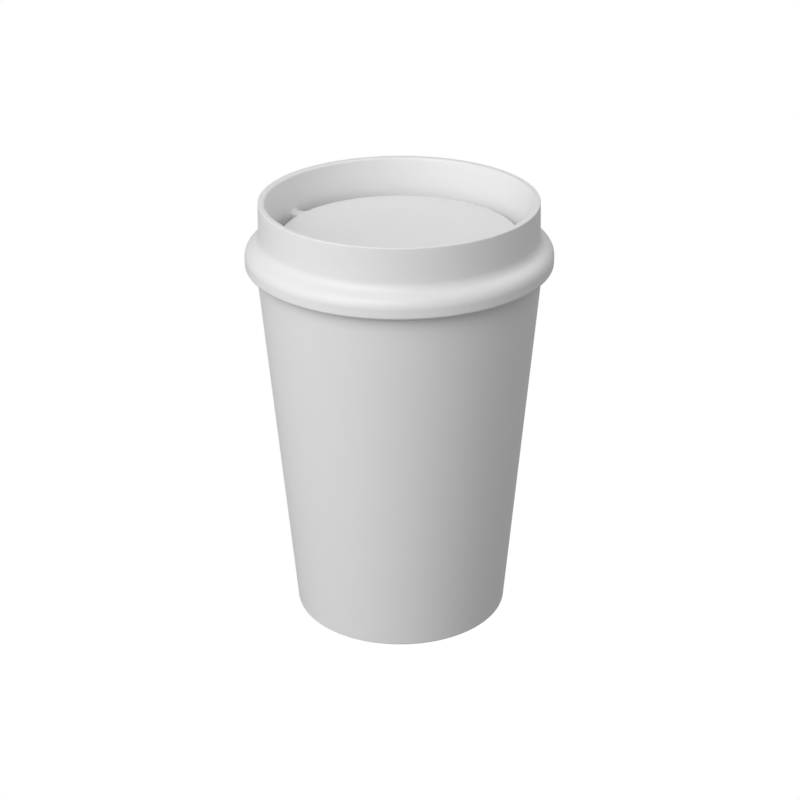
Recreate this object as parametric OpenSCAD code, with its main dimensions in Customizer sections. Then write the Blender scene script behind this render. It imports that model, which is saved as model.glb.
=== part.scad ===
// Insulated drinking tumbler: a double-walled cup and a screw-on lid.
// The lid is one moulding. Its flat middle disc hangs from two spokes inside a tall drinking
// collar, with an open gap all the way round it. Under the disc a plug carries a seal that
// closes on a ledge in the cup's neck. A part turn raises the lid and opens the gap.
// Millimetres. +Z is up, and the origin is the centre of the base on the table.

/* [Cup body] */
// Height of the cup without its lid, from the table to the top of the lip
cup_h = 113.6; // [95:0.1:140]
// Outside diameter of the body at the table
base_d = 64.6; // [58:0.1:70]
// Outside diameter of the body at the top edge of the shell
rim_d = 83.6; // [78:0.1:92]
// Thickness of the outer wall
shell_wall = 1.5; // [1.2:0.1:1.8]
// Thickness of the outer floor
shell_floor = 2.2; // [1.5:0.1:3]
// Radius of the edge where the body meets the table
foot_edge_r = 0.6; // [0.3:0.1:1.2]
// Width of the ring that the cup stands on
foot_w = 4.0; // [2.5:0.1:7]
// Depth of the recess inside the foot ring
foot_recess = 1.6; // [0.8:0.1:2.5]
// How far the foot ring's inner face leans in over that depth
foot_draft = 0.3; // [0:0.1:0.6]

/* [Inner cup] */
// Thickness of the inner wall
liner_wall = 1.4; // [1.1:0.1:1.8]
// Thickness of the inner floor
liner_floor = 1.8; // [1.2:0.1:2.5]
// Air space between the two walls at the floor
air_gap = 4.1; // [2.5:0.1:5.5]
// Air space between the two floors
floor_gap = 2.4; // [1:0.1:5]
// Inside radius between the inner wall and the inner floor
floor_corner_r = 6.0; // [3:0.1:9]
// Height of the lip that closes the air space, above the edge of the shell
lip_h = 1.8; // [1.5:0.1:2.4]
// Radius of the outer top edge of the lip
lip_r = 1.2; // [0.5:0.1:1.4]
// Radius of the inner top edge of the lip
lip_inner_r = 0.6; // [0.3:0.1:0.7]

/* [Neck] */
// Depth of the neck from the lip down to the ledge that the plug seal closes on
neck_depth = 14.0; // [13.5:0.1:16]
// Thickness of the neck wall
neck_wall = 1.3; // [1:0.1:1.6]
// Air space between the neck and the outer wall at the ledge
neck_gap = 0.3; // [0.2:0.05:0.6]
// Width of the ledge
ledge_w = 4.1; // [3.8:0.1:5]

/* [Screw thread] */
// Number of ridges round the neck, and as many round the lid
ridge_count = 4; // [3:1:4]
// Rise of the lid in one full turn
lead = 20; // [17:0.5:22]
// How far a ridge stands out
ridge_h = 1.1; // [0.8:0.05:1.3]
// Height of a ridge at its root
ridge_root = 1.5; // [1.2:0.1:1.8]
// Height of a ridge at its crest
ridge_crest = 0.9; // [0.5:0.1:1.1]
// Angle that each ridge of the neck covers
neck_ridge_deg = 55; // [35:1:60]
// Angle that each ridge of the lid covers
lid_ridge_deg = 24; // [15:1:30]
// Clearance between the threads, and between a crest and the wall that it faces
thread_clear = 0.3; // [0.2:0.05:0.4]

/* [Lid outside] */
// Height of the collar's rim above the underside of the lid's roof
collar_h = 16.4; // [12.5:0.1:24]
// How far the collar is set in from the body's rim
collar_inset = 1.0; // [0:0.1:1.8]
// How far the collar's outer face leans in between its foot and its rim
collar_taper = 0.25; // [0:0.05:0.5]
// Thickness of the collar at its rim
collar_wall = 2.0; // [1.6:0.1:2.3]
// How far the collar's inner face leans in between its rim and the height of the disc
collar_lean = 1.0; // [0.5:0.1:1.6]
// Outer radius of the collar's drinking edge
rim_outer_r = 0.3; // [0.2:0.05:0.6]
// Inner radius of the collar's drinking edge
rim_inner_r = 0.75; // [0.3:0.05:0.9]
// Clearance between the bead and the body inside it
bead_clear = 1.5; // [1.2:0.1:2.2]
// Thickness of the bead's wall
bead_wall = 1.6; // [1.3:0.1:2]
// How far the bead hangs below the underside of the lid's roof
bead_drop = 2.7; // [2.4:0.1:4]
// Straight height of the bead's side with its bottom edge
bead_straight = 2.8; // [2.2:0.1:3.4]
// Radius of the bead's shoulder
bead_arc_r = 3.9; // [3.4:0.1:4.5]
// Angle at which the bead's shoulder stops turning
bead_turn_deg = 56; // [50:1:60]
// Straight length of the bead's shoulder, below the fillet that meets the collar
bead_shoulder = 1.1; // [0.5:0.1:1.5]
// Radius of the bead's bottom edge
bead_edge_r = 0.8; // [0.4:0.05:1]

/* [Lid inside] */
// Depth of the disc's top below the collar's rim
disc_drop = 10.7; // [7:0.1:11]
// Thickness of the disc
disc_t = 2.0; // [1.5:0.1:2.4]
// Radius of the disc's top edge
disc_edge_r = 0.8; // [0.3:0.1:1.2]
// Open gap between the disc and the collar
drink_gap = 2.7; // [2:0.1:3.4]
// Width of each spoke
spoke_w = 3.6; // [2.5:0.1:6]
// Angle of the first spoke from the +X direction; the second is opposite
spoke_deg = 147; // [0:1:179]
// Radius of the blend from a spoke's top up into the collar's inner face
spoke_rise_r = 1.0; // [0.4:0.1:1.6]
// Thickness of the roof over the cup's lip, at the collar
roof_t = 2.0; // [1.6:0.1:2.3]
// How much lower the roof's inner edge is than its outer edge
roof_fall = 0.4; // [0.2:0.1:0.8]
// Chamfer from the roof down into the skirt
roof_chamfer = 0.9; // [0.5:0.1:1.1]
// Clearance between the lip of the cup and the roof above it
roof_clear = 0.3; // [0.2:0.05:0.5]
// Thickness of the skirt that reaches into the neck
skirt_wall = 1.5; // [1.3:0.05:1.7]
// Height of the skirt's bottom edge above the ledge
skirt_lift = 5.0; // [4.6:0.1:5.3]
// Open gap between the plug and the skirt
flow_gap = 2.8; // [2.2:0.1:3.2]
// Thickness of the plug's wall
plug_wall = 1.6; // [1.3:0.1:2]
// How far the plug's foot reaches below the ledge
plug_foot = 1.4; // [1:0.1:2]
// Clearance between the plug's foot and the hole in the ledge
foot_clear = 0.6; // [0.4:0.05:0.8]

/* [Seals] */
// Clearance between a seal and what it closes on or sits in, drawn unsqueezed
seal_fit = 0.1; // [0.05:0.01:0.15]
// Height of the neck seal's groove
neck_groove_h = 2.0; // [1.6:0.1:2.1]
// Depth of the neck seal's groove
neck_groove_t = 0.5; // [0.3:0.05:0.7]
// Distance from the lid's roof to the neck seal's groove
neck_groove_z = 0.5; // [0.3:0.05:0.6]
// Height of the plug seal
plug_seal_h = 2.2; // [1.8:0.1:2.4]
// How far the plug seal lies over the ledge
seat_overlap = 1.0; // [0.6:0.05:1.1]
// Depth of the plug seal's groove in the plug's wall
plug_groove_t = 0.5; // [0.3:0.05:0.7]
// Bevel on the edges of both seals
seal_bevel = 0.3; // [0.1:0.05:0.4]
// Depth of the valley between the two lips of the neck seal
seal_valley = 0.8; // [0.3:0.05:0.9]

/* [Hidden] */
$fn = 160;
// Degrees between two points of an arc in an outline
ARC_STEP = 6;
// Degrees between two rings of a thread ridge
RIDGE_STEP = 5;
// How deep a ridge or a spoke is rooted in the wall that carries it
ROOT = 0.5;
// How far a ridge runs out below the surface at each of its ends
RUN_OUT = 0.15;
// Least width of the bead's hollow at its top
HOLLOW_MIN = 0.2;

shell_top = cup_h - lip_h;
base_r = base_d / 2;
rim_r = rim_d / 2;
body_slope = (rim_r - base_r) / shell_top;
body_lean = atan(body_slope);
ledge_z = cup_h - neck_depth;
liner_floor_z = foot_recess + shell_floor + floor_gap + liner_floor;

// Radius of the body's outer and inner face at height z
function body_r(z) = base_r + body_slope * z;
function shell_in_r(z) = body_r(z) - shell_wall;

neck_r = shell_in_r(ledge_z) - neck_gap - neck_wall;
seat_r = neck_r - ledge_w;
liner_base_r = shell_in_r(liner_floor_z) - air_gap - liner_wall;
liner_slope = (seat_r - liner_base_r) / (ledge_z - liner_floor_z);
liner_lean = atan(liner_slope);

// Radius of the inner cup's inside face at height z
function liner_r(z) = liner_base_r + liner_slope * (z - liner_floor_z);

roof_z = cup_h + roof_clear;
top_z = roof_z + collar_h;
collar_r = rim_r - collar_inset;
collar_in_r = collar_r - collar_taper - collar_wall;
bead_r = rim_r + bead_clear + bead_wall;
bead_z = roof_z - bead_drop;
bead_arc_z = bead_z + bead_straight;
bead_arc_x = bead_r - bead_arc_r;
bead_turn_x = bead_arc_x + bead_arc_r * cos(bead_turn_deg) - bead_shoulder * sin(bead_turn_deg);
bead_turn_z = bead_arc_z + bead_arc_r * sin(bead_turn_deg) + bead_shoulder * cos(bead_turn_deg);
bead_fillet_r = (bead_turn_x - collar_r) / (1 - cos(bead_turn_deg));
bead_fillet_z = bead_turn_z + bead_fillet_r * sin(bead_turn_deg);
bead_inner_arc_r = bead_arc_r - bead_wall;
bead_inner_turn_x = bead_arc_x + bead_inner_arc_r * cos(bead_turn_deg);
// Outer radius of the roof where the hollow of the bead begins
bead_hollow_x = min(collar_r, bead_inner_turn_x - HOLLOW_MIN);

collar_taper_deg = atan(collar_taper / (top_z - bead_fillet_z));
collar_slope = collar_lean / disc_drop;
collar_lean_deg = atan(collar_slope);

// Radius of the collar's inner face at height z
function collar_inner_r(z) = collar_in_r - collar_slope * (top_z - z);

disc_z = top_z - disc_drop;
disc_r = collar_inner_r(disc_z) - drink_gap;
skirt_r = neck_r - ridge_h - thread_clear;
skirt_in_r = skirt_r - skirt_wall;
skirt_z = ledge_z + skirt_lift;
plug_r = skirt_in_r - flow_gap;
plug_in_r = plug_r - plug_wall;
plug_foot_r = seat_r - foot_clear;
plug_groove_r = plug_r - plug_groove_t;
plug_seal_z = ledge_z + seal_fit;
plug_seal_top = plug_seal_z + plug_seal_h;
neck_groove_top = roof_z - neck_groove_z;
neck_groove_bottom = neck_groove_top - neck_groove_h;
neck_groove_r = skirt_r - neck_groove_t;

// Mid-height of a lid ridge at its middle, and how far above it the neck's ridge runs
lid_ridge_rise = lead * lid_ridge_deg / 360;
lid_ridge_z = skirt_z + (lid_ridge_rise + ridge_root) / 2;
ridge_offset = ridge_root + thread_clear;
// Angle from a lid ridge's middle to the middle of the neck ridge above it
neck_ridge_turn = (neck_ridge_deg - lid_ridge_deg) / 2;
neck_ridge_z = lid_ridge_z + ridge_offset + lead * neck_ridge_turn / 360;

// Points of an arc round [x, y] from angle a to angle b
function arc(x, y, r, a, b) =
    let (n = max(2, ceil(abs(b - a) / ARC_STEP)))
    [for (i = [0:n]) [x + r * cos(a + (b - a) * i / n), y + r * sin(a + (b - a) * i / n)]];

// Where the centre of a fillet of radius r lies between a floor and a wall that leans
function corner_x(wall_r, lean, r) = wall_r + r * tan(lean) - r / cos(lean);

// One ring of a ridge: its four corners at an angle and a height
function ridge_ring(wall_r, side, height, a, z) = [
    for (corner = [
        [wall_r - side * ROOT, -ridge_root / 2],
        [wall_r + side * height, -ridge_crest / 2],
        [wall_r + side * height, ridge_crest / 2],
        [wall_r - side * ROOT, ridge_root / 2]
    ]) [corner[0] * cos(a), corner[0] * sin(a), z + corner[1]]
];

// A thread ridge on a round wall. side is 1 where it stands outwards and -1 inwards.
module ridge(wall_r, side, mid_deg, mid_z, arc_deg) {
    n = ceil(arc_deg / RIDGE_STEP);
    points = [
        for (i = [0:n])
            let (a = arc_deg * (i / n - 0.5))
            each ridge_ring(wall_r, side, (i == 0 || i == n) ? -RUN_OUT : ridge_h,
                mid_deg + a, mid_z + lead * a / 360)
    ];
    sides = [
        for (i = [0:n - 1], k = [0:3])
            let (p = 4 * i + k, q = 4 * i + (k + 1) % 4)
            each [[p, q, q + 4], [p, q + 4, p + 4]]
    ];
    ends = [[0, 3, 2], [0, 2, 1], [4 * n, 4 * n + 1, 4 * n + 2], [4 * n, 4 * n + 2, 4 * n + 3]];
    faces = concat(sides, ends);
    polyhedron(points, side > 0 ? faces : [for (f = faces) [f[0], f[2], f[1]]]);
}

// The ridges of one part, evenly round the axis
module ridges(wall_r, side, turn_deg, mid_z, arc_deg) {
    for (k = [0:ridge_count - 1])
        ridge(wall_r, side, turn_deg + k * 360 / ridge_count, mid_z, arc_deg);
}

// The outer wall with its floor, foot ring and plain top edge
module outer_shell() {
    foot_in_r = base_r - foot_w;
    floor_z = foot_recess + shell_floor;
    color([0.90, 0.90, 0.89])
    rotate_extrude()
    polygon(concat(
        [[0, foot_recess], [foot_in_r, foot_recess], [foot_in_r + foot_draft, 0]],
        arc(base_r + foot_edge_r * (body_slope - 1), foot_edge_r, foot_edge_r, -90, -body_lean),
        [[rim_r, shell_top], [rim_r - shell_wall, shell_top]],
        [[shell_in_r(floor_z), floor_z], [0, floor_z]]
    ));
}

// The inner cup with its neck, its ledge, its thread and the lip that rests on the shell
module inner_liner() {
    underside = liner_floor_z - liner_floor;
    out_r = floor_corner_r + liner_wall;
    out_x = corner_x(liner_r(underside) + liner_wall, liner_lean, out_r);
    in_x = corner_x(liner_r(liner_floor_z), liner_lean, floor_corner_r);
    neck_out_r = neck_r + neck_wall;
    ledge_underside = ledge_z - liner_wall;
    color([0.90, 0.90, 0.89]) {
        rotate_extrude()
        polygon(concat(
            [[0, underside]],
            arc(out_x, underside + out_r, out_r, -90, -liner_lean),
            [[liner_r(ledge_underside) + liner_wall, ledge_underside]],
            [[neck_out_r - liner_wall, ledge_underside], [neck_out_r, ledge_z]],
            [[neck_out_r, shell_top], [rim_r, shell_top]],
            arc(rim_r - lip_r, cup_h - lip_r, lip_r, 0, 90),
            arc(neck_r + lip_inner_r, cup_h - lip_inner_r, lip_inner_r, 90, 180),
            [[neck_r, ledge_z], [seat_r, ledge_z]],
            arc(in_x, liner_floor_z + floor_corner_r, floor_corner_r, -liner_lean, -90),
            [[0, liner_floor_z]]
        ));
        ridges(neck_r, -1, neck_ridge_turn, neck_ridge_z, neck_ridge_deg);
    }
}

// Outline of the collar, the bead, the roof over the lip and the skirt inside the neck
module collar_outline() {
    roof_top = roof_z + roof_t;
    roof_edge = roof_top - roof_fall;
    rim_z = top_z - rim_inner_r;
    rim_x = collar_inner_r(rim_z) + rim_inner_r / cos(collar_lean_deg);
    edge_z = top_z - rim_outer_r;
    edge_face_x = collar_r - (edge_z - bead_fillet_z) * tan(collar_taper_deg);
    edge_x = edge_face_x - rim_outer_r / cos(collar_taper_deg);
    polygon(concat(
        arc(rim_x, rim_z, rim_inner_r, 180 - collar_lean_deg, 90),
        arc(edge_x, edge_z, rim_outer_r, 90, collar_taper_deg),
        arc(collar_r + bead_fillet_r, bead_fillet_z, bead_fillet_r, 180, 180 + bead_turn_deg),
        arc(bead_arc_x, bead_arc_z, bead_arc_r, bead_turn_deg, 0),
        arc(bead_r - bead_edge_r, bead_z + bead_edge_r, bead_edge_r, 0, -90),
        [[bead_r - bead_wall, bead_z]],
        arc(bead_arc_x, bead_arc_z, bead_inner_arc_r, 0, bead_turn_deg),
        [[bead_hollow_x, roof_z], [skirt_r, roof_z]],
        [[skirt_r, neck_groove_top], [neck_groove_r, neck_groove_top]],
        [[neck_groove_r, neck_groove_bottom], [skirt_r, neck_groove_bottom]],
        [[skirt_r, skirt_z], [skirt_in_r, skirt_z]],
        [[skirt_in_r, roof_edge - roof_chamfer], [skirt_in_r + roof_chamfer, roof_edge]],
        [[collar_inner_r(roof_top), roof_top]]
    ));
}

// Outline of the disc, the plug under it and the groove of the plug seal
module disc_outline() {
    foot_z = ledge_z - plug_foot;
    flange_z = plug_seal_top + seal_fit;
    polygon(concat(
        [[0, disc_z]],
        arc(disc_r - disc_edge_r, disc_z - disc_edge_r, disc_edge_r, 90, 0),
        [[disc_r, disc_z - disc_t], [plug_r, disc_z - disc_t]],
        [[plug_r, flange_z], [plug_groove_r, flange_z]],
        [[plug_groove_r, ledge_z], [plug_foot_r, ledge_z]],
        [[plug_foot_r, foot_z], [plug_in_r, foot_z]],
        [[plug_in_r, disc_z - disc_t], [0, disc_z - disc_t]]
    ));
}

// A spoke across the gap, level with the disc, its blend up into the collar, and the web between
// the plug and the skirt
module spoke(deg) {
    arm_x = disc_r - disc_edge_r - ROOT;
    arm_z = roof_z + ROOT;
    arm_end = collar_inner_r(disc_z) + ROOT;
    rise_x = corner_x(collar_inner_r(disc_z), collar_lean_deg, spoke_rise_r);
    rise_z = disc_z + spoke_rise_r;
    web_x = plug_r - ROOT;
    web_z = skirt_z + ROOT;
    rotate([0, 0, deg])
    translate([0, -spoke_w / 2, 0]) {
        translate([arm_x, 0, arm_z])
        cube([arm_end - arm_x, spoke_w, disc_z - arm_z]);
        translate([0, spoke_w, 0])
        rotate([90, 0, 0])
        linear_extrude(spoke_w)
        polygon(concat(
            arc(rise_x, rise_z, spoke_rise_r, -90, -collar_lean_deg),
            [[arm_end, rise_z], [arm_end, disc_z - ROOT], [rise_x, disc_z - ROOT]]
        ));
        translate([web_x, 0, web_z])
        cube([skirt_in_r + ROOT - web_x, spoke_w, disc_z - ROOT - web_z]);
    }
}

// The whole lid: collar, bead, roof, skirt, thread, spokes, disc and plug are one moulding
module lid() {
    color([0.93, 0.93, 0.92]) {
        rotate_extrude() collar_outline();
        rotate_extrude() disc_outline();
        for (turn = [0, 180]) spoke(spoke_deg + turn);
        ridges(skirt_r, 1, 0, lid_ridge_z, lid_ridge_deg);
    }
}

// The soft ring in the skirt's groove, with two lips that wipe the neck
module neck_seal() {
    in_r = neck_groove_r + seal_fit;
    out_r = neck_r - seal_fit;
    low_z = neck_groove_bottom + seal_fit;
    high_z = neck_groove_top - seal_fit;
    mid_z = (low_z + high_z) / 2;
    color([0.80, 0.81, 0.82])
    rotate_extrude()
    polygon([
        [in_r, low_z], [out_r - seal_bevel, low_z], [out_r, low_z + seal_bevel],
        [out_r - seal_valley, mid_z],
        [out_r, high_z - seal_bevel], [out_r - seal_bevel, high_z], [in_r, high_z]
    ]);
}

// The soft ring in the plug's groove that closes on the ledge
module plug_seal() {
    in_r = plug_groove_r + seal_fit;
    out_r = seat_r + seat_overlap;
    color([0.80, 0.81, 0.82])
    rotate_extrude()
    polygon([
        [in_r, plug_seal_z], [out_r - seal_bevel, plug_seal_z], [out_r, plug_seal_z + seal_bevel],
        [out_r - 2 * seal_bevel, plug_seal_top], [in_r, plug_seal_top]
    ]);
}

outer_shell();
inner_liner();
lid();
neck_seal();
plug_seal();
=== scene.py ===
"""Insulated drinking tumbler: fine moulded pieces over the fixed frame, their finishes and a soft studio.

The classes hold their sizes in millimetres, as the part's source does, and what the frame can give is
read from the frame. A mesh is made in metres, in the frame's own axes: +Z up the cup's axis, +X to the
right and +Y away from the viewer.
"""

import logging
import math
from collections.abc import Callable, Iterable, Sequence
from dataclasses import dataclass, field
from enum import Enum

import bmesh
import bpy
from mathutils import Matrix, Vector

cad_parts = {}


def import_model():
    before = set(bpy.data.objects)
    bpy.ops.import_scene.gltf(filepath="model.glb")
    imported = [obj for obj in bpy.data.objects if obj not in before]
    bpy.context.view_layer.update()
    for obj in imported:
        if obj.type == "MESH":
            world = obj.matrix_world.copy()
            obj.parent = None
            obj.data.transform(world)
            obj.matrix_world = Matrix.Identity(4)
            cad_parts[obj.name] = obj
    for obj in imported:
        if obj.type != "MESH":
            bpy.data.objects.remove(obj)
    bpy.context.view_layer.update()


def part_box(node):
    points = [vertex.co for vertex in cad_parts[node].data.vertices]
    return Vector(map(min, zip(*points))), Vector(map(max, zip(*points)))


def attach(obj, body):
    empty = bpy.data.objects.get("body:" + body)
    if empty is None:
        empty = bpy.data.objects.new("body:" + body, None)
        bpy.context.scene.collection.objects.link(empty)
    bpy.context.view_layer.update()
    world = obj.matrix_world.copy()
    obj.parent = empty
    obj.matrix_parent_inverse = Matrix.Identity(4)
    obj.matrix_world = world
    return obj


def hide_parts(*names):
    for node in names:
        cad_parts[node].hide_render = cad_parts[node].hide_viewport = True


LOG = logging.getLogger("tumbler")
MM = 0.001

Point = tuple[float, float]
Corner = tuple[float, float, float]


class Body(Enum):
    """The bodies of the frame that a piece can ride on."""

    CUP = "cup"
    NECK_RING = "neck_ring"
    LID = "lid"


class Slot(Enum):
    """The material slots that the finishes stand for."""

    BODY = "body_plastic"
    LINER = "liner_plastic"
    LID = "lid_plastic"
    SEAL = "seal_silicone"


def arc(x: float, y: float, radius: float, start: float, end: float, step: float = 4.0) -> list[Corner]:
    """Corners along an arc of an outline, none of which is rounded further.

    Args:
        x: First coordinate of the arc's centre.
        y: Second coordinate of the arc's centre.
        radius: Radius of the arc.
        start: Angle of the first corner in degrees.
        end: Angle of the last corner in degrees.
        step: Largest angle between two corners in degrees.

    Returns:
        The corners, both ends included.
    """
    count = max(2, math.ceil(abs(end - start) / step))
    angles = [math.radians(start + (end - start) * i / count) for i in range(count + 1)]
    return [(x + radius * math.cos(a), y + radius * math.sin(a), 0.0) for a in angles]


def rounded(corners: Sequence[Corner], step: float = 18.0) -> list[Point]:
    """Turns a closed outline's corners into points, with an arc at each corner that has a radius.

    Args:
        corners: Each corner's two coordinates and its radius. The radius may be 0.
        step: Largest angle between two points of a corner's arc, in degrees.

    Returns:
        The outline's points in the same order.
    """
    points: list[Point] = []
    for i, (x, y, radius) in enumerate(corners):
        if radius <= 0:
            points.append((x, y))
            continue
        here = Vector((x, y))
        back = Vector(corners[i - 1][:2]) - here
        ahead = Vector(corners[(i + 1) % len(corners)][:2]) - here
        half = back.angle(ahead) / 2
        reach = min(radius / math.tan(half), min(back.length, ahead.length) / 2)
        radius = reach * math.tan(half)
        centre = here + (back.normalized() + ahead.normalized()).normalized() * (radius / math.sin(half))
        first = here + back.normalized() * reach - centre
        last = here + ahead.normalized() * reach - centre
        begin = math.atan2(first.y, first.x)
        turn = (math.atan2(last.y, last.x) - begin + math.pi) % math.tau - math.pi
        count = max(2, math.ceil(math.degrees(abs(turn)) / step))
        angles = [begin + turn * k / count for k in range(count + 1)]
        points += [(centre.x + radius * math.cos(a), centre.y + radius * math.sin(a)) for a in angles]
    return points


def new_object(name: str, bm: bmesh.types.BMesh) -> bpy.types.Object:
    """Makes a linked object from a mesh in work, with its faces turned outwards.

    Args:
        name: Name of the object and its mesh.
        bm: The mesh in work, which is freed.

    Returns:
        The new object.
    """
    bmesh.ops.recalc_face_normals(bm, faces=bm.faces)
    mesh = bpy.data.meshes.new(name)
    bm.to_mesh(mesh)
    bm.free()
    made = bpy.data.objects.new(name, mesh)
    bpy.context.scene.collection.objects.link(made)
    return made


def skin(name: str, rings: Sequence[Sequence[Vector]], closed: bool) -> bpy.types.Object:
    """Joins rings of points with faces, and closes the skin.

    Args:
        name: Name of the object.
        rings: Rings of the same number of points each, in millimetres. A ring may be one point.
        closed: True if the last ring joins the first, and False if both ends get a flat cap.

    Returns:
        The new object.
    """
    bm = bmesh.new()
    made = [[bm.verts.new(p * MM) for p in ring] for ring in rings]
    pairs = list(zip(made, made[1:]))
    if closed:
        pairs.append((made[-1], made[0]))
    for low, high in pairs:
        count = max(len(low), len(high))
        for k in range(count if count > 1 else 0):
            below = [low[k % len(low)], low[(k + 1) % len(low)]]
            above = [high[(k + 1) % len(high)], high[k % len(high)]]
            bm.faces.new(dict.fromkeys(below + above))
    if not closed:
        for ring in (made[0], made[-1]):
            bm.faces.new(ring)
    return new_object(name, bm)


def revolve(name: str, outline: Sequence[Point], segments: int) -> bpy.types.Object:
    """Turns a closed outline about the axis.

    Args:
        name: Name of the object.
        outline: Points of radius and height in millimetres. Those on the axis become one vertex each.
        segments: Number of steps round the axis.

    Returns:
        The new object.
    """
    turns = [math.tau * k / segments for k in range(segments)]
    rings = [
        [Vector((r * math.cos(a), r * math.sin(a), z)) for a in turns] if r > 0 else [Vector((0, 0, z))]
        for r, z in outline
    ]
    return skin(name, rings, closed=True)


def fuse(base: bpy.types.Object, parts: Iterable[bpy.types.Object]) -> None:
    """Joins parts to base as one closed skin, and removes the parts.

    Args:
        base: The object that becomes the union.
        parts: Closed objects that reach into base or into one another.
    """
    parts = list(parts)
    for part in parts:
        union = base.modifiers.new(part.name, "BOOLEAN")
        union.operation = "UNION"
        union.solver = "EXACT"
        union.object = part
    graph = bpy.context.evaluated_depsgraph_get()
    mesh = bpy.data.meshes.new_from_object(base.evaluated_get(graph))
    base.modifiers.clear()
    base.data = mesh
    mesh.name = base.name
    for part in parts:
        bpy.data.objects.remove(part)


def smooth(piece: bpy.types.Object, sharp_deg: float = 35.0, flat_weight: int = 100) -> None:
    """Shades a piece smoothly, keeps its creases and lets its flat faces stay flat.

    Args:
        piece: The finished mesh.
        sharp_deg: Edges that turn by more than this stay creased.
        flat_weight: How strongly the large faces set the shading, from 1 to 100.
    """
    mesh = piece.data
    mesh.shade_smooth()
    mesh.set_sharp_from_angle(angle=math.radians(sharp_deg))
    normals = piece.modifiers.new("flat_faces", "WEIGHTED_NORMAL")
    normals.keep_sharp = True
    normals.weight = flat_weight


@dataclass(frozen=True)
class MouldedFinish:
    """One moulded plastic or rubber: its colour, its gloss and the fine texture of its mould.

    Attributes:
        name: Name of the material.
        slot: The material slot that it stands for.
        colour: Linear base colour.
        roughness: Middle roughness of the surface.
        roughness_spread: How far the roughness wanders to either side.
        grain: Size of the mould's texture in millimetres.
        depth: Height of that texture in millimetres.
        patch: Size of the faint clouds in the colour, in millimetres.
        mottle: Share by which the colour changes from cloud to cloud.
        subsurface: Share of the light that scatters inside the wall.
        scatter: How far light travels inside the wall, in millimetres.
        specular: Specular level of the shader.
    """

    name: str
    slot: Slot
    colour: tuple[float, float, float]
    roughness: float
    roughness_spread: float
    grain: float
    depth: float
    patch: float
    mottle: float
    subsurface: float
    scatter: float
    specular: float = 0.5

    def build(self) -> bpy.types.Material:
        """Makes the material with its nodes.

        Returns:
            The new material.
        """
        material = bpy.data.materials.new(self.name)
        material.use_nodes = True
        tree = material.node_tree
        shader = tree.nodes["Principled BSDF"]
        place = tree.nodes.new("ShaderNodeTexCoord").outputs["Object"]
        clouds = self._noise(tree, place, self.patch, detail=3.0)
        grains = self._noise(tree, place, self.grain, detail=1.0)
        tree.links.new(self._tint(tree, clouds), shader.inputs["Base Color"])
        tree.links.new(self._gloss(tree, clouds), shader.inputs["Roughness"])
        tree.links.new(self._relief(tree, grains), shader.inputs["Normal"])
        shader.inputs["Specular IOR Level"].default_value = self.specular
        shader.inputs["Subsurface Weight"].default_value = self.subsurface
        shader.inputs["Subsurface Radius"].default_value = (1.0, 1.0, 1.0)
        shader.inputs["Subsurface Scale"].default_value = self.scatter * MM
        return material

    @staticmethod
    def _noise(
        tree: bpy.types.NodeTree, place: bpy.types.NodeSocket, size: float, detail: float
    ) -> bpy.types.NodeSocket:
        """Noise with features of one size.

        Args:
            tree: The material's nodes.
            place: The coordinates to read.
            size: Size of a feature in millimetres.
            detail: Number of finer layers added.

        Returns:
            The noise's value, about 0.5 in the middle.
        """
        noise = tree.nodes.new("ShaderNodeTexNoise")
        noise.inputs["Scale"].default_value = 1 / (size * MM)
        noise.inputs["Detail"].default_value = detail
        tree.links.new(place, noise.inputs["Vector"])
        return noise.outputs["Fac"]

    def _tint(self, tree: bpy.types.NodeTree, clouds: bpy.types.NodeSocket) -> bpy.types.NodeSocket:
        """Base colour with its faint clouds.

        Args:
            tree: The material's nodes.
            clouds: Noise about 0.5 in the middle.

        Returns:
            The colour's socket.
        """
        mix = tree.nodes.new("ShaderNodeMix")
        mix.data_type = "RGBA"
        low, high = 1 - self.mottle, 1 + self.mottle
        mix.inputs["A"].default_value = (*(c * low for c in self.colour), 1.0)
        mix.inputs["B"].default_value = (*(min(1.0, c * high) for c in self.colour), 1.0)
        tree.links.new(clouds, mix.inputs["Factor"])
        return mix.outputs["Result"]

    def _gloss(self, tree: bpy.types.NodeTree, clouds: bpy.types.NodeSocket) -> bpy.types.NodeSocket:
        """Roughness that wanders a little with the clouds.

        Args:
            tree: The material's nodes.
            clouds: Noise about 0.5 in the middle.

        Returns:
            The roughness's socket.
        """
        spread = tree.nodes.new("ShaderNodeMapRange")
        spread.inputs["To Min"].default_value = self.roughness - self.roughness_spread
        spread.inputs["To Max"].default_value = self.roughness + self.roughness_spread
        tree.links.new(clouds, spread.inputs["Value"])
        return spread.outputs["Result"]

    def _relief(self, tree: bpy.types.NodeTree, grains: bpy.types.NodeSocket) -> bpy.types.NodeSocket:
        """Normal of the mould's fine texture.

        Args:
            tree: The material's nodes.
            grains: Noise that gives the texture's height.

        Returns:
            The normal's socket.
        """
        bump = tree.nodes.new("ShaderNodeBump")
        bump.inputs["Strength"].default_value = 1.0
        bump.inputs["Distance"].default_value = self.depth * MM
        tree.links.new(grains, bump.inputs["Height"])
        return bump.outputs["Normal"]


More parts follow.
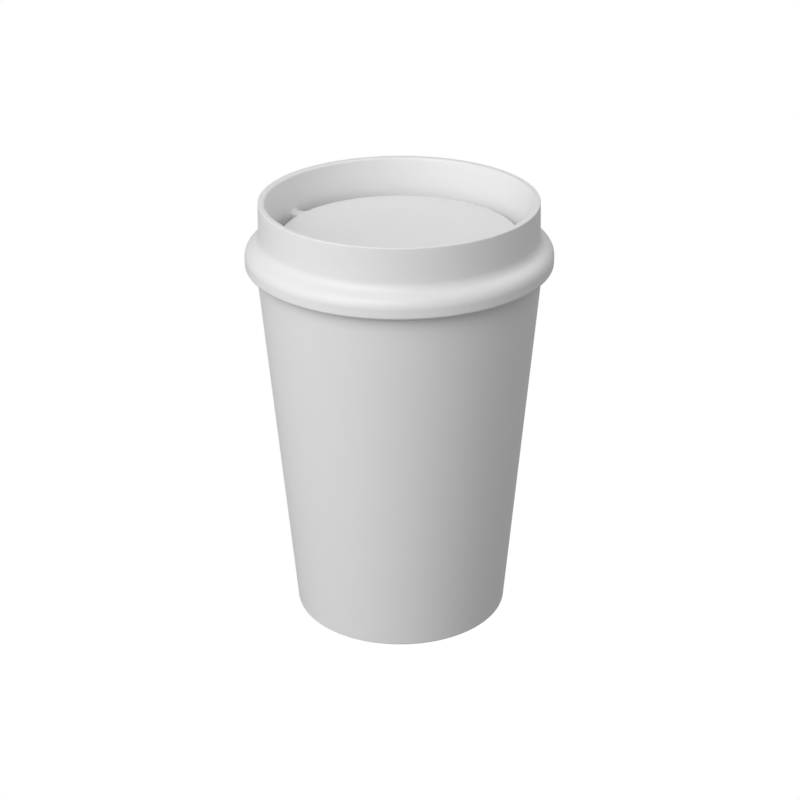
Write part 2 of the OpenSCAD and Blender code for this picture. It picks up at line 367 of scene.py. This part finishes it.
BODY_FINISH = MouldedFinish(
    name="body_matt_white", slot=Slot.BODY, colour=(0.80, 0.80, 0.80), roughness=0.62,
    roughness_spread=0.04, grain=0.45, depth=0.006, patch=9.0, mottle=0.008, subsurface=0.15, scatter=0.8,
)
LINER_FINISH = MouldedFinish(
    name="liner_satin_white", slot=Slot.LINER, colour=(0.80, 0.80, 0.80), roughness=0.38,
    roughness_spread=0.04, grain=1.2, depth=0.004, patch=12.0, mottle=0.008, subsurface=0.15, scatter=0.8,
)
LID_FINISH = MouldedFinish(
    name="lid_satin_white", slot=Slot.LID, colour=(0.82, 0.82, 0.82), roughness=0.45,
    roughness_spread=0.04, grain=0.8, depth=0.004, patch=10.0, mottle=0.008, subsurface=0.25, scatter=1.2,
)
SEAL_FINISH = MouldedFinish(
    name="seal_soft_grey", slot=Slot.SEAL, colour=(0.60, 0.61, 0.62), roughness=0.50,
    roughness_spread=0.05, grain=0.6, depth=0.006, patch=5.0, mottle=0.02, subsurface=0.4, scatter=1.0,
    specular=0.4,
)


@dataclass
class Frame:
    """Sizes that the frame itself gives, in millimetres.

    Attributes:
        cup_h: Height of the cup's lip.
        shell_top: Height of the shell's top edge.
        rim_r: Outer radius of that edge.
        liner_underside: Height of the inner cup's underside.
        lid_top: Height of the collar's rim.
        bead_r: Radius of the bead at its widest.
        plug_foot_z: Height of the plug's lowest point.
        neck_seal: Radius, lowest and highest point of the neck's ring.
        plug_seal: Radius, lowest and highest point of the plug's ring.
    """

    cup_h: float = field(init=False)
    shell_top: float = field(init=False)
    rim_r: float = field(init=False)
    liner_underside: float = field(init=False)
    lid_top: float = field(init=False)
    bead_r: float = field(init=False)
    plug_foot_z: float = field(init=False)
    neck_seal: tuple[float, float, float] = field(init=False)
    plug_seal: tuple[float, float, float] = field(init=False)

    def __post_init__(self) -> None:
        """Reads the nodes' boxes."""
        self.rim_r, _, self.shell_top = self._span("outer_shell")
        _, self.liner_underside, self.cup_h = self._span("inner_liner")
        self.bead_r, self.plug_foot_z, self.lid_top = self._span("lid")
        self.neck_seal = self._span("neck_seal")
        self.plug_seal = self._span("plug_seal")

    @staticmethod
    def _span(node: str) -> tuple[float, float, float]:
        """Radius, lowest and highest point of a round node, rounded to a hundredth of a millimetre."""
        low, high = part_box(node)
        return round(high.y / MM, 2), round(low.z / MM, 2), round(high.z / MM, 2)


@dataclass
class Thread:
    """The coarse screw thread: short ridges round the neck and round the lid's skirt.

    Attributes:
        count: Ridges on each side.
        lead: Rise in one full turn.
        height: How far a ridge stands out.
        root_h: Height of a ridge at its root.
        crest_h: Height of a ridge at its crest.
        crest_r: Radius along the crest's edges.
        root_depth: How deep a ridge reaches into its wall.
        run_out: How far a ridge dips below the wall's face at its ends.
        run_out_deg: Angle over which it rises from there.
        step: Degrees between two rings.
    """

    count: int = 4
    lead: float = 20.0
    height: float = 1.1
    root_h: float = 1.5
    crest_h: float = 0.9
    crest_r: float = 0.3
    root_depth: float = 0.5
    run_out: float = 0.15
    run_out_deg: float = 5.0
    step: float = 1.0

    def _rise(self, turn: float, arc_deg: float) -> float:
        """Height of the crest above the wall at an angle from the ridge's middle.

        Args:
            turn: The angle from the ridge's middle in degrees.
            arc_deg: Angle that the ridge covers.

        Returns:
            The height in millimetres, below zero at the ridge's ends.
        """
        share = min(1.0, (arc_deg / 2 - abs(turn)) / self.run_out_deg)
        soft = share * share * (3 - 2 * share)
        return -self.run_out + (self.height + self.run_out) * soft

    def ridges(
        self, wall_r: float, side: int, turn: float, mid_z: float, arc_deg: float
    ) -> list[bpy.types.Object]:
        """Makes the ridges of one wall.

        Args:
            wall_r: Radius of the wall's face.
            side: 1 where the ridges stand outwards and -1 inwards.
            turn: Angle of the first ridge's middle in degrees.
            mid_z: Height of each ridge's middle.
            arc_deg: Angle that each ridge covers.

        Returns:
            One closed object for each ridge, rooted in the wall.
        """
        section = rounded([
            (-self.root_depth, -self.root_h / 2, 0.0),
            (self.height, -self.crest_h / 2, self.crest_r),
            (self.height, self.crest_h / 2, self.crest_r),
            (-self.root_depth, self.root_h / 2, 0.0),
        ])
        count = math.ceil(arc_deg / self.step)
        made = []
        for k in range(self.count):
            rings = []
            for i in range(count + 1):
                offset = arc_deg * (i / count - 0.5)
                angle = math.radians(turn + k * 360 / self.count + offset)
                scale = (self._rise(offset, arc_deg) + self.root_depth) / (self.height + self.root_depth)
                rings.append([
                    self._place(wall_r + side * ((u + self.root_depth) * scale - self.root_depth), angle,
                                mid_z + self.lead * offset / 360 + v)
                    for u, v in section
                ])
            made.append(skin(f"ridge_{k}", rings, closed=False))
        return made

    @staticmethod
    def _place(radius: float, angle: float, z: float) -> Vector:
        """Point at a radius, an angle and a height."""
        return Vector((radius * math.cos(angle), radius * math.sin(angle), z))


@dataclass
class Cup:
    """The double-walled cup: the outer shell and the inner cup welded to its top edge.

    The fields that aren't listed are sizes in millimetres or degrees, named for what they measure.

    Attributes:
        frame: Sizes from the frame.
        thread: The screw thread.
        segments: Steps round the axis.
    """

    frame: Frame
    thread: Thread
    segments: int = 240
    base_r: float = 32.3
    shell_wall: float = 1.5
    shell_floor: float = 2.2
    foot_edge_r: float = 0.6
    foot_w: float = 4.0
    foot_recess: float = 1.6
    foot_draft: float = 0.3
    gate_r: float = 2.4
    gate_depth: float = 0.5
    gate_nub_r: float = 0.8
    ring_r: float = 19.0
    ring_w: float = 1.2
    ring_h: float = 0.25
    liner_wall: float = 1.4
    liner_floor: float = 1.8
    air_gap: float = 4.1
    floor_corner_r: float = 6.0
    lip_r: float = 1.2
    lip_inner_r: float = 0.6
    neck_depth: float = 14.0
    neck_wall: float = 1.3
    neck_gap: float = 0.3
    ledge_w: float = 4.1
    edge_r: float = 0.25
    weld_r: float = 0.15
    neck_ridge_deg: float = 55.0
    neck_ridge_turn: float = 15.5
    neck_ridge_drop: float = 4.92

    @property
    def slope(self) -> float:
        """How much the body's radius grows for each millimetre of height."""
        return (self.frame.rim_r - self.base_r) / self.frame.shell_top

    @property
    def ledge_z(self) -> float:
        """Height of the ledge that the plug's seal closes on."""
        return self.frame.cup_h - self.neck_depth

    @property
    def neck_r(self) -> float:
        """Inner radius of the neck."""
        return self._shell_in_r(self.ledge_z) - self.neck_gap - self.neck_wall

    @property
    def seat_r(self) -> float:
        """Radius of the hole in the ledge."""
        return self.neck_r - self.ledge_w

    def _shell_in_r(self, z: float) -> float:
        """Radius of the shell's inner face at a height."""
        return self.base_r + self.slope * z - self.shell_wall

    def _shell_outline(self) -> list[Point]:
        """Section of the shell: its underside with the gate mark, the foot ring, the wall and the floor.

        Returns:
            The outline's points of radius and height.
        """
        lean = math.degrees(math.atan(self.slope))
        foot_in_r = self.base_r - self.foot_w
        foot_x = self.base_r + self.foot_edge_r * (self.slope - 1)
        floor_z = self.foot_recess + self.shell_floor
        gate_z = self.foot_recess + self.gate_depth
        nub_z = self.foot_recess + self.gate_depth / 2
        ring_z = self.foot_recess - self.ring_h
        soft = self.edge_r
        return rounded([
            (0.0, nub_z, 0.0), (self.gate_nub_r, nub_z, soft / 2), (self.gate_nub_r, gate_z, soft / 2),
            (self.gate_r - self.gate_depth, gate_z, soft), (self.gate_r, self.foot_recess, soft),
            (self.ring_r, self.foot_recess, soft / 2), (self.ring_r + self.ring_h, ring_z, soft / 2),
            (self.ring_r + self.ring_w - self.ring_h, ring_z, soft / 2),
            (self.ring_r + self.ring_w, self.foot_recess, soft / 2),
            (foot_in_r, self.foot_recess, 2 * soft), (foot_in_r + self.foot_draft, 0.0, soft),
            *arc(foot_x, self.foot_edge_r, self.foot_edge_r, -90, -lean, step=12),
            (self.frame.rim_r, self.frame.shell_top, self.weld_r),
            (self.frame.rim_r - self.shell_wall, self.frame.shell_top, self.weld_r),
            (self._shell_in_r(floor_z), floor_z, 4 * soft), (0.0, floor_z, 0.0),
        ])

    def _liner_outline(self) -> list[Point]:
        """Section of the inner cup: its floor, wall, ledge, neck and lip.

        Returns:
            The outline's points of radius and height.
        """
        f = self.frame
        underside = f.liner_underside
        floor_z = underside + self.liner_floor
        base_r = self._shell_in_r(floor_z) - self.air_gap - self.liner_wall
        slope = (self.seat_r - base_r) / (self.ledge_z - floor_z)
        lean = math.atan(slope)
        out_r = self.floor_corner_r + self.liner_wall
        out_wall = base_r + slope * (underside - floor_z) + self.liner_wall
        out_x = out_wall + out_r * (math.tan(lean) - 1 / math.cos(lean))
        in_x = base_r + self.floor_corner_r * (math.tan(lean) - 1 / math.cos(lean))
        ledge_under = self.ledge_z - self.liner_wall
        under_r = base_r + slope * (ledge_under - floor_z) + self.liner_wall
        neck_out_r = self.neck_r + self.neck_wall
        lip_x, lip_z = self.neck_r + self.lip_inner_r, f.cup_h - self.lip_inner_r
        lean_deg = math.degrees(lean)
        soft = self.edge_r
        return rounded([
            (0.0, underside, 0.0), *arc(out_x, underside + out_r, out_r, -90, -lean_deg, step=6),
            (under_r, ledge_under, 2 * soft), (neck_out_r - self.liner_wall, ledge_under, soft),
            (neck_out_r, self.ledge_z, soft), (neck_out_r, f.shell_top, soft),
            (f.rim_r, f.shell_top, self.weld_r),
            *arc(f.rim_r - self.lip_r, f.cup_h - self.lip_r, self.lip_r, 0, 90, step=9),
            *arc(lip_x, lip_z, self.lip_inner_r, 90, 180, step=12),
            (self.neck_r, self.ledge_z, 2 * soft), (self.seat_r, self.ledge_z, 2 * soft),
            *arc(in_x, floor_z + self.floor_corner_r, self.floor_corner_r, -lean_deg, -90, step=6),
            (0.0, floor_z, 0.0),
        ])

    def build_shell(self) -> bpy.types.Object:
        """Makes the outer shell."""
        return revolve("cup_outer_shell", self._shell_outline(), self.segments)

    def build_liner(self) -> bpy.types.Object:
        """Makes the inner cup with the ridges of its neck.

        Returns:
            One closed skin.
        """
        liner = revolve("cup_inner_liner", self._liner_outline(), self.segments)
        ridge_z = self.frame.cup_h - self.neck_ridge_drop
        fuse(liner, self.thread.ridges(self.neck_r, -1, self.neck_ridge_turn, ridge_z, self.neck_ridge_deg))
        return liner


@dataclass
class Lid:
    """The lid, one moulding: collar, bead, roof, skirt with its thread, disc, two tabs and plug.

    The fields that aren't listed are sizes in millimetres or degrees, named for what they measure.

    Attributes:
        frame: Sizes from the frame.
        thread: The screw thread.
        cup: The cup that the lid closes.
        segments: Steps round the axis.
    """

    frame: Frame
    thread: Thread
    cup: Cup
    segments: int = 240
    collar_inset: float = 1.0
    collar_taper: float = 0.25
    collar_wall: float = 2.0
    collar_lean: float = 1.0
    rim_outer_r: float = 0.3
    rim_inner_r: float = 0.75
    roof_clear: float = 0.3
    roof_t: float = 2.0
    roof_fall: float = 0.4
    roof_chamfer: float = 0.9
    bead_wall: float = 1.6
    bead_drop: float = 2.7
    bead_straight: float = 2.8
    bead_arc_r: float = 3.9
    bead_turn_deg: float = 56.0
    bead_shoulder: float = 1.1
    bead_edge_r: float = 0.8
    bead_inner_edge_r: float = 0.3
    hollow_min: float = 0.2
    disc_drop: float = 10.7
    disc_t: float = 2.0
    disc_edge_r: float = 0.8
    disc_under_r: float = 0.3
    drink_gap: float = 2.7
    tab_w: float = 3.6
    tab_deg: float = 147.0
    tab_fillet_r: float = 1.0
    tab_flare_r: float = 0.8
    tab_rise_r: float = 1.0
    web_w: float = 3.2
    web_reach: float = 0.5
    skirt_wall: float = 1.5
    skirt_lift: float = 5.0
    flow_gap: float = 2.8
    plug_wall: float = 1.6
    foot_clear: float = 0.6
    plug_groove_t: float = 0.5
    seal_fit: float = 0.1
    neck_groove_h: float = 2.0
    neck_groove_t: float = 0.5
    neck_groove_z: float = 0.5
    edge_r: float = 0.3
    groove_edge_r: float = 0.1
    thread_clear: float = 0.3
    ridge_deg: float = 24.0

    @property
    def roof_z(self) -> float:
        """Height of the roof's underside."""
        return self.frame.cup_h + self.roof_clear

    @property
    def collar_r(self) -> float:
        """Outer radius of the collar at its foot."""
        return self.frame.rim_r - self.collar_inset

    @property
    def collar_in_r(self) -> float:
        """Inner radius of the collar at its rim."""
        return self.collar_r - self.collar_taper - self.collar_wall

    @property
    def disc_z(self) -> float:
        """Height of the disc's top."""
        return self.frame.lid_top - self.disc_drop

    @property
    def collar_slope(self) -> float:
        """How much the collar's inner radius grows for each millimetre of height."""
        return self.collar_lean / self.disc_drop

    def _inner_r(self, z: float) -> float:
        """Radius of the collar's leaning inner face at a height."""
        return self.collar_in_r - self.collar_slope * (self.frame.lid_top - z)

    @property
    def disc_r(self) -> float:
        """Radius of the disc."""
        return self._inner_r(self.disc_z) - self.drink_gap

    @property
    def skirt_r(self) -> float:
        """Outer radius of the skirt inside the neck."""
        return self.cup.neck_r - self.thread.height - self.thread_clear

    @property
    def skirt_in_r(self) -> float:
        """Inner radius of the skirt."""
        return self.skirt_r - self.skirt_wall

    @property
    def skirt_z(self) -> float:
        """Height of the skirt's bottom edge."""
        return self.cup.ledge_z + self.skirt_lift

    @property
    def plug_r(self) -> float:
        """Outer radius of the plug."""
        return self.skirt_in_r - self.flow_gap

    def _collar_outline(self) -> list[Point]:
        """Section of the collar, the bead, the roof and the skirt.

        Returns:
            The outline's points of radius and height.
        """
        f = self.frame
        turn = math.radians(self.bead_turn_deg)
        bead_z = self.roof_z - self.bead_drop
        arc_x, arc_z = f.bead_r - self.bead_arc_r, bead_z + self.bead_straight
        turn_x = arc_x + self.bead_arc_r * math.cos(turn) - self.bead_shoulder * math.sin(turn)
        fillet_r = (turn_x - self.collar_r) / (1 - math.cos(turn))
        fillet_z = arc_z + (self.bead_arc_r + fillet_r) * math.sin(turn) + self.bead_shoulder * math.cos(turn)
        inner_arc_r = self.bead_arc_r - self.bead_wall
        hollow_x = min(self.collar_r, arc_x + inner_arc_r * math.cos(turn) - self.hollow_min)
        lean = math.atan(self.collar_slope)
        rim_z = f.lid_top - self.rim_inner_r
        rim_x = self._inner_r(rim_z) + self.rim_inner_r / math.cos(lean)
        taper = math.atan(self.collar_taper / (f.lid_top - fillet_z))
        edge_z = f.lid_top - self.rim_outer_r
        edge_x = self.collar_r - math.tan(taper) * (edge_z - fillet_z) - self.rim_outer_r / math.cos(taper)
        groove_top = self.roof_z - self.neck_groove_z
        groove_low = groove_top - self.neck_groove_h
        groove_r = self.skirt_r - self.neck_groove_t
        roof_top = self.roof_z + self.roof_t
        roof_edge = roof_top - self.roof_fall
        soft, fine = self.edge_r, self.groove_edge_r
        return rounded([
            *arc(rim_x, rim_z, self.rim_inner_r, 180 - math.degrees(lean), 90, step=9),
            *arc(edge_x, edge_z, self.rim_outer_r, 90, math.degrees(taper), step=9),
            *arc(self.collar_r + fillet_r, fillet_z, fillet_r, 180, 180 + self.bead_turn_deg),
            *arc(arc_x, arc_z, self.bead_arc_r, self.bead_turn_deg, 0),
            *arc(f.bead_r - self.bead_edge_r, bead_z + self.bead_edge_r, self.bead_edge_r, 0, -90, step=10),
            (f.bead_r - self.bead_wall, bead_z, self.bead_inner_edge_r),
            *arc(arc_x, arc_z, inner_arc_r, 0, self.bead_turn_deg, step=6),
            (hollow_x, self.roof_z, soft), (self.skirt_r, self.roof_z, soft),
            (self.skirt_r, groove_top, fine), (groove_r, groove_top, fine),
            (groove_r, groove_low, fine), (self.skirt_r, groove_low, fine),
            (self.skirt_r, self.skirt_z, soft), (self.skirt_in_r, self.skirt_z, soft),
            (self.skirt_in_r, roof_edge - self.roof_chamfer, soft),
            (self.skirt_in_r + self.roof_chamfer, roof_edge, soft), (self._inner_r(roof_top), roof_top, soft),
        ])

    def _plug_outline(self) -> list[Point]:
        """Section of the plug's tube with its groove and foot, rooted in the disc.

        Returns:
            The outline's points of radius and height.
        """
        groove_r = self.plug_r - self.plug_groove_t
        foot_r = self.cup.seat_r - self.foot_clear
        in_r = self.plug_r - self.plug_wall
        flange_z = self.frame.plug_seal[2] + self.seal_fit
        top = self.disc_z - self.disc_t / 2
        soft, fine = self.edge_r, self.groove_edge_r
        return rounded([
            (self.plug_r, top, 0.0), (self.plug_r, flange_z, fine), (groove_r, flange_z, fine),
            (groove_r, self.cup.ledge_z, fine), (foot_r, self.cup.ledge_z, soft),
            (foot_r, self.frame.plug_foot_z, soft), (in_r, self.frame.plug_foot_z, soft), (in_r, top, 0.0),
        ])

    def _plate_ring(self, inset: float, z: float) -> list[Vector]:
        """Outline of the disc and its two tabs seen from above.

        Args:
            inset: How far the outline is moved in from the disc's widest.
            z: Height of the ring.

        Returns:
            The ring's points. Every inset gives the same number of them.
        """
        half_w = self.tab_w / 2
        wall_r = self._inner_r(self.disc_z)
        fillet_y, flare_y = half_w + self.tab_fillet_r, half_w + self.tab_flare_r
        fillet_x = math.sqrt((self.disc_r + self.tab_fillet_r) ** 2 - fillet_y ** 2)
        flare_x = math.sqrt((wall_r - self.tab_flare_r) ** 2 - flare_y ** 2)
        disc_deg = math.degrees(math.atan2(fillet_y, fillet_x))
        flare_deg = math.degrees(math.atan2(flare_y, flare_x))
        root = math.radians(flare_deg)
        root_r = wall_r + self.collar_wall / 2
        side = [
            (root_r * math.cos(root), root_r * math.sin(root), 0.0),
            *arc(flare_x, flare_y, self.tab_flare_r + inset, flare_deg, -90, step=12),
            *arc(fillet_x, fillet_y, self.tab_fillet_r + inset, -90, disc_deg - 180, step=10),
        ]
        over = arc(0.0, 0.0, self.disc_r - inset, disc_deg, 180 - disc_deg, step=1.5)[1:-1]
        half = side + over + [(-x, y, 0.0) for x, y, _ in reversed(side)]
        whole = half + [(-x, -y, 0.0) for x, y, _ in half]
        turn = Matrix.Rotation(math.radians(self.tab_deg), 3, "Z")
        return [turn @ Vector((x, y, z)) for x, y, _ in whole]

    def _plate(self) -> bpy.types.Object:
        """The disc with its two tabs, rounded along its edges.

        Returns:
            A closed plate that reaches into the wall.
        """
        low, high = self.disc_z - self.disc_t, self.disc_z
        under, over = self.disc_under_r, self.disc_edge_r
        rings = [self._plate_ring(under - x, z) for x, z, _ in arc(0.0, low + under, under, -90, 0, step=18)]
        rings += [self._plate_ring(over - x, z) for x, z, _ in arc(0.0, high - over, over, 0, 90, step=10)]
        return skin("plate", rings, closed=False)

    def _rise(self, turn: float) -> bpy.types.Object:
        """The hollow blend from one tab's top up into the collar's wall.

        Args:
            turn: Angle of the tab in degrees.

        Returns:
            A closed block with rounded sides that reaches into the tab and the wall.
        """
        rise, soft, reach = self.tab_rise_r, self.disc_edge_r, self.web_reach
        lean = math.atan(self.collar_slope)
        centre_x = self._inner_r(self.disc_z + rise) - rise / math.cos(lean)
        back = self._inner_r(self.disc_z) + reach
        half_w = self.tab_w / 2
        stations = [(y - half_w + soft, soft - z) for y, z, _ in arc(0.0, 0.0, soft, 180, 90, step=10)]
        rotate = Matrix.Rotation(math.radians(turn), 3, "Z")
        rings = []
        for y, drop in stations + [(-y, drop) for y, drop in reversed(stations)]:
            hollow = arc(centre_x, self.disc_z + rise, rise + drop, -90, -math.degrees(lean), step=10)
            outline = [(x, z) for x, z, _ in hollow]
            outline += [(back, self.disc_z + rise), (back, self.disc_z - self.disc_t / 2)]
            outline.append((centre_x, self.disc_z - self.disc_t / 2))
            rings.append([rotate @ Vector((x, y, z)) for x, z in outline])
        return skin("rise", rings, closed=False)

    def _web(self, turn: float) -> bpy.types.Object:
        """The wall under one tab, from the plug out to the skirt and the collar.

        Args:
            turn: Angle of the tab in degrees.

        Returns:
            A closed block that reaches into all that it joins.
        """
        reach = self.web_reach
        inner, outer = self.plug_r - reach, self._inner_r(self.disc_z) + reach
        outline = [
            (inner, self.skirt_z + reach), (self.skirt_in_r + reach, self.skirt_z + reach),
            (self.skirt_in_r + reach, self.roof_z + reach), (outer, self.roof_z + reach),
            (outer, self.disc_z - reach), (inner, self.disc_z - reach),
        ]
        rotate = Matrix.Rotation(math.radians(turn), 3, "Z")
        rings = [[rotate @ Vector((x, y, z)) for x, z in outline] for y in (-self.web_w / 2, self.web_w / 2)]
        return skin("web", rings, closed=False)

    def build(self) -> bpy.types.Object:
        """Makes the whole lid as one closed skin.

        Returns:
            The lid.
        """
        lid = revolve("lid_moulding", self._collar_outline(), self.segments)
        rise = self.thread.lead * self.ridge_deg / 360
        ridge_z = self.skirt_z + (rise + self.thread.root_h) / 2
        parts = [self._plate(), revolve("plug", self._plug_outline(), self.segments)]
        parts += [make(self.tab_deg + turn) for make in (self._web, self._rise) for turn in (0, 180)]
        parts += self.thread.ridges(self.skirt_r, 1, 0.0, ridge_z, self.ridge_deg)
        fuse(lid, parts)
        return lid


@dataclass
class Seals:
    """The two soft rings: one in the skirt's groove and one in the plug's.

    Attributes:
        frame: Sizes from the frame.
        lid: The lid that carries both rings.
        segments: Steps round the axis.
        bevel: Width of the slant along a ring's outer edges.
        valley: Depth between the neck ring's two lips.
        soft_r: Radius of the fine edges.
    """

    frame: Frame
    lid: Lid
    segments: int = 240
    bevel: float = 0.3
    valley: float = 0.8
    soft_r: float = 0.15

    def build_neck_seal(self) -> bpy.types.Object:
        """Makes the ring with two lips that wipe the neck.

        Returns:
            The ring.
        """
        out_r, low, high = self.frame.neck_seal
        in_r = self.lid.skirt_r - self.lid.neck_groove_t + self.lid.seal_fit
        soft = self.soft_r
        return revolve("neck_seal_ring", rounded([
            (in_r, low, soft), (out_r - self.bevel, low, soft), (out_r, low + self.bevel, soft),
            (out_r - self.valley, (low + high) / 2, soft),
            (out_r, high - self.bevel, soft), (out_r - self.bevel, high, soft), (in_r, high, soft),
        ]), self.segments)

    def build_plug_seal(self) -> bpy.types.Object:
        """Makes the ring that closes on the ledge.

        Returns:
            The ring.
        """
        out_r, low, high = self.frame.plug_seal
        in_r = self.lid.plug_r - self.lid.plug_groove_t + self.lid.seal_fit
        soft = self.soft_r
        return revolve("plug_seal_ring", rounded([
            (in_r, low, soft), (out_r - self.bevel, low, soft), (out_r, low + self.bevel, soft),
            (out_r - 2 * self.bevel, high, soft), (in_r, high, soft),
        ]), self.segments)


@dataclass(frozen=True)
class SoftLight:
    """A square soft light that points at the cup.

    Attributes:
        name: Name of the light.
        azimuth: Where it stands, in degrees from +X towards +Y.
        elevation: How high it stands above the horizon, in degrees.
        watts: Its power.
        distance: Metres from the middle of the cup.
        size: Length of its side in metres.
    """

    name: str
    azimuth: float
    elevation: float
    watts: float
    distance: float = 1.2
    size: float = 0.8

    def build(self, target: Vector) -> bpy.types.Object:
        """Makes the light and aims it at the target.

        Args:
            target: The point that it faces, in metres.

        Returns:
            The new light.
        """
        data = bpy.data.lights.new(self.name, "AREA")
        data.shape = "SQUARE"
        data.size = self.size
        data.energy = self.watts
        lamp = bpy.data.objects.new(self.name, data)
        bpy.context.scene.collection.objects.link(lamp)
        azimuth, elevation = math.radians(self.azimuth), math.radians(self.elevation)
        level = math.cos(elevation)
        away = Vector((math.cos(azimuth) * level, math.sin(azimuth) * level, math.sin(elevation)))
        lamp.location = target + away * self.distance
        lamp.rotation_euler = away.to_track_quat("Z", "Y").to_euler()
        return lamp


@dataclass
class Studio:
    """The pale floor, the soft lights and the camera.

    Attributes:
        middle: Height of the cup's middle, where the lights point, in metres.
        fill: Strength of the even light from all round.
        floor_r: Radius of the floor in metres.
        backdrop_r: Radius of the backdrop's dome in metres.
        white: Brightness of the floor and the backdrop.
        floor_sides: Number of sides of the floor's round edge.
        dome_steps: Steps round the backdrop, and twice the steps from its top to its bottom.
        lights: The soft lights.
        camera_place: Where the camera stands, in metres.
        camera_lens: Focal length in millimetres.
        camera_near: Nearest distance that the camera shows, in metres.
        camera_pitch: How far it looks down, in degrees.
        camera_yaw: How far it looks to the right, in degrees.
        camera_roll: How far it turns about its own line of sight, in degrees.
    """

    middle: float = 0.075
    fill: float = 0.289
    floor_r: float = 4.0
    backdrop_r: float = 6.0
    white: float = 1.0
    floor_sides: int = 96
    dome_steps: int = 64
    lights: tuple[SoftLight, ...] = (
        SoftLight("key_left_front", azimuth=-120, elevation=40, watts=8.5),
        SoftLight("high_left", azimuth=-150, elevation=40, watts=0.9),
        SoftLight("low_left_front", azimuth=-150, elevation=10, watts=2.1),
        SoftLight("low_left", azimuth=-180, elevation=10, watts=0.5),
        SoftLight("right_side", azimuth=0, elevation=40, watts=1.0),
        SoftLight("right_back", azimuth=45, elevation=40, watts=2.7),
        SoftLight("high_back", azimuth=90, elevation=60, watts=0.5),
    )
    camera_place: tuple[float, float, float] = (0.0, -0.49576, 0.30070)
    camera_lens: float = 81.73
    camera_near: float = 0.01
    camera_pitch: float = 25.293
    camera_yaw: float = -0.004
    camera_roll: float = -0.288

    def build_camera(self) -> bpy.types.Object:
        """Makes the camera at the photograph's viewing angle.

        Returns:
            The camera.
        """
        data = bpy.data.cameras.new("camera")
        data.lens = self.camera_lens
        data.clip_start = self.camera_near
        camera = bpy.data.objects.new("camera", data)
        bpy.context.scene.collection.objects.link(camera)
        turn = Matrix.Rotation(math.radians(-self.camera_yaw), 4, "Z")
        tilt = Matrix.Rotation(math.radians(90 - self.camera_pitch), 4, "X")
        roll = Matrix.Rotation(math.radians(self.camera_roll), 4, "Z")
        camera.matrix_world = Matrix.Translation(self.camera_place) @ turn @ tilt @ roll
        bpy.context.scene.camera = camera
        return camera

    def build_lights(self) -> None:
        """Makes the lights and the even light from all round."""
        for light in self.lights:
            light.build(Vector((0.0, 0.0, self.middle)))
        world = bpy.data.worlds.new("even_light")
        world.use_nodes = True
        world.node_tree.nodes["Background"].inputs["Color"].default_value = (1.0, 1.0, 1.0, 1.0)
        world.node_tree.nodes["Background"].inputs["Strength"].default_value = self.fill
        bpy.context.scene.world = world

    def build_surround(self) -> None:
        """Makes the shadowless white floor and the dome behind it, which only the camera sees."""
        material = bpy.data.materials.new("plain_white")
        material.use_nodes = True
        shader = material.node_tree.nodes["Principled BSDF"]
        shader.inputs["Base Color"].default_value = (0.0, 0.0, 0.0, 1.0)
        shader.inputs["Specular IOR Level"].default_value = 0.0
        shader.inputs["Emission Color"].default_value = (1.0, 1.0, 1.0, 1.0)
        shader.inputs["Emission Strength"].default_value = self.white
        floor, dome = bmesh.new(), bmesh.new()
        bmesh.ops.create_circle(floor, cap_ends=True, segments=self.floor_sides, radius=self.floor_r)
        bmesh.ops.create_uvsphere(
            dome, u_segments=self.dome_steps, v_segments=self.dome_steps // 2, radius=self.backdrop_r
        )
        for name, bm in (("floor", floor), ("backdrop", dome)):
            piece = new_object(name, bm)
            piece.data.materials.append(material)
            piece.visible_diffuse = False
            piece.visible_glossy = False
            piece.visible_transmission = False
            piece.visible_shadow = False


def dress(piece: bpy.types.Object, node: str, body: Body, finish: MouldedFinish) -> bpy.types.Object:
    """Finishes a piece and sets it on its body in place of the frame's node.

    Args:
        piece: The new mesh.
        node: The frame's node that it stands for.
        body: The body that it rides on.
        finish: Its finish.

    Returns:
        The same piece.
    """
    smooth(piece)
    piece.data.materials.clear()
    piece.data.materials.append(bpy.data.materials.get(finish.name) or finish.build())
    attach(piece, body.value)
    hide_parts(node)
    faces = len(piece.data.polygons)
    LOG.info("%s: %d faces, rides on %s, stands for %s", piece.name, faces, body.value, node)
    return piece


def main() -> None:
    """Builds the scene in order: the frame, the camera, the pieces and the studio."""
    logging.basicConfig(level=logging.INFO, format="%(name)s: %(message)s")
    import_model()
    studio = Studio()
    studio.build_camera()

    frame = Frame()
    thread = Thread()
    cup = Cup(frame, thread)
    lid = Lid(frame, thread, cup)
    seals = Seals(frame, lid)
    makers: list[tuple[Callable[[], bpy.types.Object], str, Body, MouldedFinish]] = [
        (cup.build_shell, "outer_shell", Body.CUP, BODY_FINISH),
        (cup.build_liner, "inner_liner", Body.CUP, LINER_FINISH),
        (lid.build, "lid", Body.LID, LID_FINISH),
        (seals.build_neck_seal, "neck_seal", Body.NECK_RING, SEAL_FINISH),
        (seals.build_plug_seal, "plug_seal", Body.LID, SEAL_FINISH),
    ]
    for make, node, body, finish in makers:
        dress(make(), node, body, finish)

    studio.build_lights()
    studio.build_surround()
    bpy.context.scene.view_settings.view_transform = "Standard"
    bpy.context.scene.cycles.use_denoising = True


if __name__ == "__main__":
    main()
